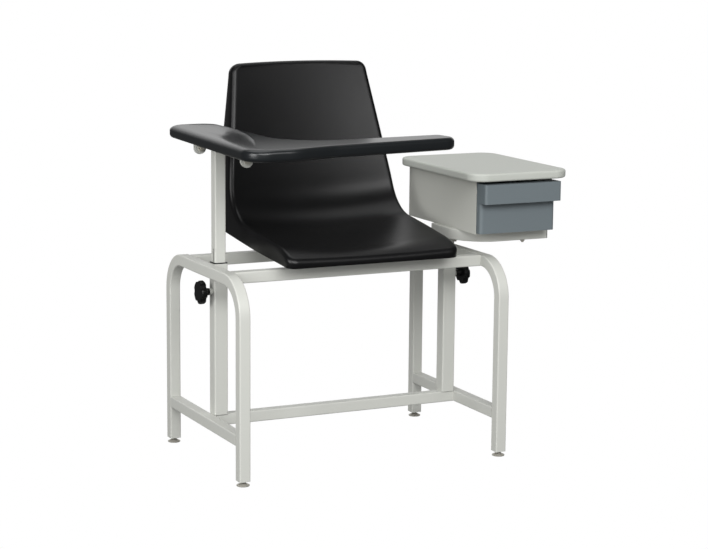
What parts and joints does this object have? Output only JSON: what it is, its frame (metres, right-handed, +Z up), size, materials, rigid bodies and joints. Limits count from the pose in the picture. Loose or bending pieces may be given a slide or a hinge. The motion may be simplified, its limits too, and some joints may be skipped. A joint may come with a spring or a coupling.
{
  "type": "phlebotomy chair",
  "caption": "Blood-drawing chair: moulded shell seat on a square-tube frame, height-adjustable flip-up padded arm on one side, drawer cabinet on the other.",
  "frame": {"origin": "on the floor under the middle of the chair's bounding box, at rest", "axes": "+Z up; -Y is the way the sitter looks; +X is towards the sitter's left hand, where the drawer cabinet is; the arm pad is at -X"},
  "size_m": [0.8639, 0.578, 0.8798],
  "materials": {
    "frame": "satin light grey powder coat",
    "top_plastic": "matt grey",
    "drawer_plastic": "satin slate grey",
    "shell_plastic": "fine-grained satin black",
    "pad_skin": "self-skinned soft foam, satin black",
    "black_plastic": "satin black",
    "zinc": "dull zinc plate",
    "nylon": "natural",
    "board": "raw plywood"
  },
  "bodies": {
    "frame": {"left_end_frame": "frame", "right_end_frame": "frame", "left_stretcher": "frame", "right_stretcher": "frame", "cross_stretcher": "frame", "front_rail": "frame", "rear_rail": "frame", "seat_bars": "frame", "left_socket": "frame", "right_socket": "frame", "left_clamp_nut": "frame", "right_clamp_nut": "frame", "left_bushing": "black_plastic", "right_bushing": "black_plastic", "leg_inserts": "black_plastic", "seat_shell": "shell_plastic", "seat_bolts": "zinc", "seat_washers": "zinc"},
    "glide_front_left": {"glide_front_left": "zinc"},
    "glide_front_right": {"glide_front_right": "zinc"},
    "glide_rear_left": {"glide_rear_left": "zinc"},
    "glide_rear_right": {"glide_rear_right": "zinc"},
    "left_clamp_screw": {"left_clamp_screw": "zinc"},
    "left_knob": {"left_knob": "black_plastic"},
    "right_clamp_screw": {"right_clamp_screw": "zinc"},
    "right_knob": {"right_knob": "black_plastic"},
    "arm_stand": {"arm_post": "frame", "arm_bridge": "frame", "pivot_bolts": "zinc", "pivot_nuts": "zinc", "pivot_washers": "nylon"},
    "arm": {"arm_plate": "frame", "hinge_ears": "frame", "arm_pad": "pad_skin", "pad_board": "board", "arm_screws": "zinc"},
    "cabinet": {"cabinet_post": "frame", "support_tube": "frame", "tube_plugs": "black_plastic", "cabinet_body": "frame", "drawer_runners": "zinc", "cabinet_top": "top_plastic", "cabinet_bolts": "zinc", "cabinet_nuts": "zinc", "top_screws": "zinc"},
    "drawer": {"drawer": "drawer_plastic"}
  },
  "joints": [
    {"name": "glide_front_left_thread", "type": "slide", "parent": "frame", "child": "glide_front_left", "axis": [0, 0, -1], "range_m": [0, 0.012]},
    {"name": "glide_front_right_thread", "type": "slide", "parent": "frame", "child": "glide_front_right", "axis": [0, 0, -1], "range_m": [0, 0.012]},
    {"name": "glide_rear_left_thread", "type": "slide", "parent": "frame", "child": "glide_rear_left", "axis": [0, 0, -1], "range_m": [0, 0.012]},
    {"name": "glide_rear_right_thread", "type": "slide", "parent": "frame", "child": "glide_rear_right", "axis": [0, 0, -1], "range_m": [0, 0.012]},
    {"name": "arm_height", "type": "slide", "parent": "frame", "child": "arm_stand", "axis": [0, 0, 1], "range_m": [-0.09, 0.06]},
    {"name": "arm_flip", "type": "hinge", "parent": "arm_stand", "child": "arm", "pos_m": [-0.36312, 0.057, 0.697], "axis": [0, -1, 0], "range_deg": [0, 90]},
    {"name": "cabinet_height", "type": "slide", "parent": "frame", "child": "cabinet", "axis": [0, 0, 1], "range_m": [-0.0215, 0.08]},
    {"name": "drawer_slide", "type": "slide", "parent": "cabinet", "child": "drawer", "axis": [0, -1, 0], "range_m": [0, 0.24]},
    {"name": "left_screw_travel", "type": "slide", "parent": "frame", "child": "left_clamp_screw", "axis": [-1, 0, 0], "range_m": [0, 0.0025]},
    {"name": "left_knob_turn", "type": "hinge", "parent": "left_clamp_screw", "child": "left_knob", "pos_m": [-0.36312, 0.057, 0.39], "axis": [-1, 0, 0], "range_deg": [0, 720]},
    {"name": "right_screw_travel", "type": "slide", "parent": "frame", "child": "right_clamp_screw", "axis": [1, 0, 0], "range_m": [0, 0.0025]},
    {"name": "right_knob_turn", "type": "hinge", "parent": "right_clamp_screw", "child": "right_knob", "pos_m": [0.21072, 0.057, 0.39], "axis": [1, 0, 0], "range_deg": [0, 720]}
  ],
  "couplings": [
    {"joint": "left_knob_turn", "follows": "left_screw_travel", "rad_per_m": 5026.5},
    {"joint": "right_knob_turn", "follows": "right_screw_travel", "rad_per_m": 5026.5}
  ]
}
